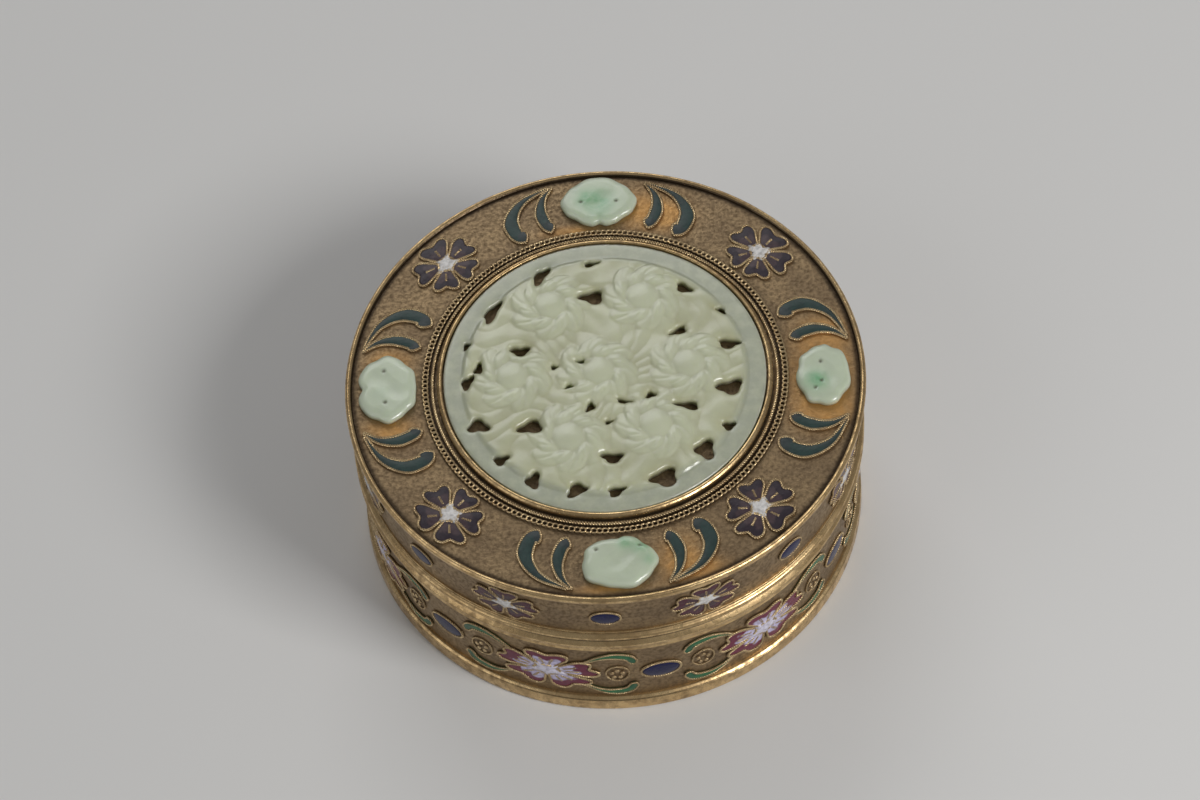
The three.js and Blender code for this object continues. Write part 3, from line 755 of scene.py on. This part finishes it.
def grains(place, spots, radius):
    """Small balls of gold at places on a seat."""
    bodies = []
    lift = np.radians([-80, -45, -10, 25, 60, 85])
    direction = np.linspace(0, 2 * np.pi, 8, endpoint=False)
    for across, out in spots:
        grid = np.stack([
            place(across + radius * np.cos(a) * np.cos(direction), out + radius * np.cos(a) * np.sin(direction),
                  0.12 + radius * 0.7 * (1 + np.sin(a)) * 0.6) for a in lift
        ])
        bodies.append(ring_body(grid, bare(grid.shape[0] * grid.shape[1])))
    return bodies


for k in range(base_repeats):
    oval_turn = first_base_oval + k * 360 / base_repeats
    seat = wall_seat(oval_turn - 180 / base_repeats, base_band_middle)
    cells, wires = flower(seat, np.pi / 2, 8.9, 5.5, 0.16, wire_strand, veins=(-0.4, 0.4))
    leaves, leaf_wires, gold = [], [], []
    for sideways in (1, -1):
        for upwards in (1, -1):
            route = [(across * sideways, out * upwards) for across, out in scroll]
            more_cells, more_wires = comma(seat, route, 1.5, 0.10)
            leaves, leaf_wires = leaves + more_cells, leaf_wires + more_wires
        turn_round = np.linspace(0, 2 * np.pi, 48, endpoint=False)
        leaf_wires += wired(seat, sideways * 11.6 + 1.9 * np.cos(turn_round), 2.2 * np.sin(turn_round), 0.15, 0.09)
        spots = [(sideways * 11.6 + 0.9 * np.cos(a), 1.1 * np.sin(a)) for a in np.linspace(0.3, 6.58, 6)[:-1]]
        gold += grains(seat, spots, 0.42)
    add_piece(f"base_flower_{k + 1}_enamel", cells, lilac_enamel, "base", (f"base_flower_{k + 1}",))
    add_piece(f"base_flower_{k + 1}_leaves", leaves, green_enamel, "base")
    add_piece(f"base_flower_{k + 1}_wires", wires + leaf_wires, wire_gilt, "base")
    add_piece(f"base_flower_{k + 1}_grains", gold, wire_gilt, "base")
    cells, wires = oval(wall_seat(oval_turn, base_band_middle), 3.1, 1.95, wire_strand)
    add_piece(f"base_oval_{k + 1}_enamel", cells, cobalt_enamel, "base", (f"base_oval_{k + 1}",))
    add_piece(f"base_oval_{k + 1}_wires", wires, wire_gilt, "base")

# Jade: pale celadon nephrite, polished and a little translucent, cloudy inside and greener in places.


def jade(name, pale, deep, green):
    """Translucent polished stone: pale where it is high, with painted shade, darker and warmer, in its hollows; green
    where a mask says so.
    """
    finish, tree, surface = new_finish(name)
    clouds = mottled(tree, 130, 420)
    # Painted shade: darker and warmer where the mesh marks hollows.
    colour = mixed(tree, reading(tree, "hollow"), pale, deep)
    colour = mixed(tree, combined(tree, "MULTIPLY", clouds["Broad"], 0.35), colour, tuple(min(1.0, 1.22 * c) for c in pale))
    colour = mixed(tree, combined(tree, "MULTIPLY", reading(tree, "green"), spread(tree, clouds["Fine"], 0, 1, 1.0, 0.55)), colour, green)
    # Painted shade, dark brown, where the mesh marks it: in the stones' drill holes.
    colour = mixed(tree, reading(tree, "dirt"), colour, (0.10, 0.08, 0.05))
    tree.links.new(colour, surface.inputs["Base Color"])
    surface.inputs["Roughness"].default_value = 0.27
    surface.inputs["IOR"].default_value = 1.61
    surface.inputs["Subsurface Weight"].default_value = 0.55
    surface.inputs["Subsurface Radius"].default_value = (0.9, 1.0, 0.7)
    surface.inputs["Subsurface Scale"].default_value = 0.003
    surface.inputs["Coat Weight"].default_value = 0.2
    surface.inputs["Coat Roughness"].default_value = 0.12
    bumped(tree, surface, clouds["Height"], 0.06, 0.0005)
    return finish


pale_jade = jade("pale_jade", (0.55, 0.57, 0.41), (0.41, 0.39, 0.22), (0.40, 0.42, 0.32))
green_jade = jade("green_jade", (0.52, 0.58, 0.44), (0.38, 0.44, 0.30), (0.14, 0.40, 0.19))

# Plaque: a disc with a plain margin, carved with seven blossoms among leaves and pierced between them.
# It lies on the lid's top inside the bezel.
margin_top = 1.2
carved_radius = 23.6
blossoms = [
    (-8.1, 14.2), (7.2, 14.6), (-15.1, 0.6), (-1.1, 0.4), (13.8, 0.5), (-6.6, -12.1), (7.6, -10.7),
]
piercings = [
    (-0.8, 22.4, 1.5, 0.8, 10), (-9.3, 20.7, 2.4, 1.3, 60), (-1.2, 15.6, 2.4, 1.7, 5), (14.2, 16.0, 1.8, 1.1, -30),
    (19.9, 10.9, 1.3, 0.6, -40), (12.6, 7.4, 1.9, 0.9, 20), (20.7, 4.2, 2.2, 1.2, -10), (-17.7, 14.1, 2.9, 1.2, 55),
    (-22.2, 7.7, 1.0, 0.7, 60), (-13.5, 5.8, 1.8, 1.4, 0), (-20.5, 2.9, 1.4, 0.9, 80), (-22.4, 0.4, 1.8, 1.1, 70),
    (-3.8, 2.7, 1.0, 0.5, 0), (-8.1, 2.1, 0.8, 0.6, 0), (-5.9, -2.0, 1.0, 0.5, 10), (-2.7, -6.3, 1.3, 0.8, 50),
    (2.8, -5.6, 1.5, 0.6, -20), (7.2, -4.8, 1.0, 0.9, 0), (12.9, -7.3, 2.3, 1.1, -15), (20.1, -4.3, 2.4, 1.9, 15),
    (19.3, -11.8, 1.3, 1.1, 30), (15.1, -16.0, 2.0, 2.1, -20), (8.2, -20.7, 2.8, 1.9, 20), (0.5, -22.6, 1.9, 1.0, 15),
    (-5.8, -21.8, 2.1, 1.4, 20), (-12.7, -19.4, 1.4, 1.9, 0), (-17.6, -15.0, 1.5, 1.2, 10), (-21.0, -8.2, 2.0, 1.7, -10),
    (-12.6, -9.2, 2.3, 1.7, 10), (0.2, -16.2, 2.1, 1.3, 0), (0.1, -9.4, 0.9, 0.5, 20),
]


def jade_left(x, y):
    """Distance to the nearest edge of the jade: positive in the stone, negative outside it and in a piercing."""
    edge_of = plaque_radius - np.hypot(x, y)
    for number, (a, b, long, wide, lean) in enumerate(piercings):
        c, s = np.cos(np.radians(lean)), np.sin(np.radians(lean))
        p, q = (c * (x - a) + s * (y - b)) / long, (-s * (x - a) + c * (y - b)) / wide
        way = np.arctan2(q, p)
        shape = 0.84 * (1 + 0.20 * np.cos(3 * way + 1.9 * number) + 0.08 * np.cos(2 * way + 0.7 * number))
        edge_of = np.minimum(edge_of, (np.hypot(p, q) - shape) * min(long, wide))
    return edge_of


def carving(x, y):
    """Height of the carving over the margin: domed middles, rows of petals round each, and leaves between."""
    radius = np.hypot(x, y)
    high = 0.28 + 0.09 * np.sin(0.9 * x + 1.3 * np.sin(0.5 * y)) * np.sin(0.8 * y + 1.1 * np.sin(0.6 * x))
    fold = np.arctan2(y, x) * 9 + 2.2 * np.sin(0.42 * x + 0.6) + 2.0 * np.sin(0.38 * y) + 0.35 * radius
    high = high + 0.15 * np.abs(np.sin(fold)) ** 0.6
    for number, (a, b) in enumerate(blossoms):
        reach, way = np.hypot(x - a, y - b), np.arctan2(y - b, x - a) + 0.7 * number
        dome = 1.04 * np.sqrt(np.clip(1 - (reach / 3.3) ** 2, 0, 1))
        for count, start, end, top, sway, shift in ((7, 2.6, 7.8, 0.76, 0.13, 0.0), (7, 2.4, 6.0, 0.92, 0.16, 0.45)):
            ridge = np.abs(np.cos(0.5 * count * (way + shift + sway * reach)))
            span = np.clip((reach - start) / (end - start), 0, 1)
            tip = np.clip((0.75 + 0.25 * ridge - span) / 0.25, 0, 1)
            petal = top * (0.60 + 0.40 * ridge ** 0.7) * np.sin(np.pi * np.clip(span, 0, 1) ** 0.7) ** 0.45 * tip ** 0.6
            groove = 0.08 * np.exp(-((ridge - 1.0) / 0.02) ** 2) * np.clip(4 * span * (1 - span), 0, 1)
            high = np.maximum(high, petal - groove)
        high = np.maximum(high, dome)
    rim_fall = np.clip((carved_radius - radius) / 0.9, 0, 1)
    return high * (rim_fall * rim_fall * (3 - 2 * rim_fall))


step = 0.22
line = np.arange(-plaque_radius - step, plaque_radius + 2 * step, step)
x, y = np.meshgrid(line, line, indexing="ij")
left = jade_left(x, y)
kept = (left[:-1, :-1] + left[1:, :-1] + left[:-1, 1:] + left[1:, 1:]) > 0
ringed = np.pad(kept, 1)
touching = [ringed[:-1, :-1], ringed[1:, :-1], ringed[:-1, 1:], ringed[1:, 1:]]
used = np.any(touching, axis=0)
border = used & ~np.all(touching, axis=0)
for _ in range(3):
    left = jade_left(x, y)
    slope_x = (jade_left(x + 0.01, y) - left) / 0.01
    slope_y = (jade_left(x, y + 0.01) - left) / 0.01
    steep = np.maximum(slope_x ** 2 + slope_y ** 2, 0.2)
    move = np.where(border, np.clip(left / steep, -step, step), 0)
    x, y = x - move * slope_x, y - move * slope_y
left = np.clip(jade_left(x, y), 0, None)
carved = carving(x, y)
soft_edge = 1 - np.exp(-left / 0.28)
thick = margin_top - 0.12 * (1 - soft_edge) + carved * (0.45 + 0.55 * soft_edge)
thick = np.minimum(thick, (relief_top - lid_top) - 0.01)
number = np.full(x.shape, -1)
number[used] = np.arange(used.sum())
top_points = np.stack([x[used], y[used], lid_top + thick[used]], -1)
under_points = np.stack([x[used], y[used], np.full(used.sum(), lid_top)], -1)
i, j = np.nonzero(kept)
top_faces = np.stack([number[i, j], number[i + 1, j], number[i + 1, j + 1], number[i, j + 1]], -1)
count = int(used.sum())
walls = []
for di, dj, start, end in ((0, -1, (0, 0), (1, 0)), (1, 0, (1, 0), (1, 1)), (0, 1, (1, 1), (0, 1)), (-1, 0, (0, 1), (0, 0))):
    open_side = ~ringed[i + 1 + di, j + 1 + dj]
    a = number[i[open_side] + start[0], j[open_side] + start[1]]
    b = number[i[open_side] + end[0], j[open_side] + end[1]]
    walls.append(np.stack([b, a, a + count, b + count], -1))
# Painted shade: the plaque is darker and warmer in the low places of the carving and beside the piercings.
hollow = np.clip(1 - carved[used] / 0.8, 0, 1) * (np.hypot(x[used], y[used]) < carved_radius)
margin = np.clip((np.hypot(x[used], y[used]) - carved_radius + 1.5) / 1.2, 0, 1)
near_hole = np.exp(-left[used] / 0.5) * (np.hypot(x[used], y[used]) < carved_radius + 1.0)
carried = {
    "hollow": np.tile(np.clip(0.7 * hollow + 0.3 * near_hole, 0, 1), 2), "green": np.tile(margin, 2), "dirt": np.zeros(2 * count),
}
plaque_body = {
    "points": np.concatenate([top_points, under_points]),
    "faces": np.concatenate([top_faces, top_faces[:, ::-1] + count, *walls]).tolist(), **carried,
}
add_piece("jade_plaque_carved", [plaque_body], pale_jade, "lid", ("jade_plaque",))

# Four small jade stones, lobed and drilled; the wire that holds each through its drill holes is not built.
lobes = {"north": (4, -90, 0.16, 0.04), "east": (7, 0, 0.05, 0.035), "south": (5, -90, 0.10, 0.04), "west": (6, 90, 0.12, 0.03)}
green_spots = {
    "north": [(0.2, -0.6, 2.6, 0.85), (2.6, 0.8, 1.6, 0.4)], "east": [(-1.6, -1.2, 1.8, 0.9)],
    "south": [(3.9, -2.3, 1.5, 0.8), (1.2, -3.4, 1.3, 0.7), (4.6, 0.5, 1.0, 0.4)], "west": [(1.0, 1.0, 1.5, 0.12)],
}
drill_holes = {
    "north": [(3.0, -0.2), (-3.0, -0.3)], "east": [(2.2, -0.4), (-1.6, -0.3), (-3.1, -1.2)],
    "south": [(-3.7, -2.0), (3.7, -2.3)], "west": [(3.0, 0.4), (-3.1, 0.6)],
}
for name, (turn_of, half_width, half_depth) in stones.items():
    lobe_count, notch, notch_depth, lobe_depth = lobes[name]
    direction = np.linspace(0, 2 * np.pi, 120, endpoint=False)
    off = (direction - np.radians(notch) + np.pi) % (2 * np.pi) - np.pi
    reach = 1 - lobe_depth + lobe_depth * np.cos(lobe_count * direction) - notch_depth * np.exp(-(off / 0.16) ** 2)
    reach += 0.012 * np.sin(11 * direction + half_width)
    rows = [(0.96, 0.0), (1.0, 0.25), (1.0, 0.85), (0.975, 1.1), (0.92, 1.3), (0.84, 1.4)]
    rows += [(share, 1.47 - 0.04 * np.sin(7 * share)) for share in np.linspace(0.76, 0.03, 22)]
    across = np.stack([half_width * reach * share * np.cos(direction) for share, _ in rows])
    out = np.stack([half_depth * reach * share * np.sin(direction) for share, _ in rows])
    height = np.stack([np.full(len(direction), rise) for _, rise in rows])
    carved_lines = 0.07 * np.sin(0.9 * across + 1.6 * np.sin(0.8 * out + half_width) + half_depth) * (height > 1.3)
    place = lid_seat(turn_of)
    green = sum(weight * np.exp(-((across - a) ** 2 + (out - b) ** 2) / size ** 2) for a, b, size, weight in green_spots[name])
    dots = sum(np.exp(-((across - a) ** 2 + (out - b) ** 2) / 0.30 ** 2) for a, b in drill_holes[name])
    # Painted shade along the carved lines of each stone's top, and in its dented drill holes.
    carried = {"hollow": np.clip(2 * np.abs(carved_lines), 0, 1).ravel(), "green": np.clip(green, 0, 1).ravel(),
               "dirt": np.clip(0.9 * dots, 0, 1).ravel()}
    grid = place(across, out, np.clip(height + carved_lines - 0.25 * np.clip(dots, 0, 1), 0, 1.5))
    add_piece(f"stone_{name}_polished", [ring_body(grid, carried)], green_jade, "lid", (f"stone_{name}",))
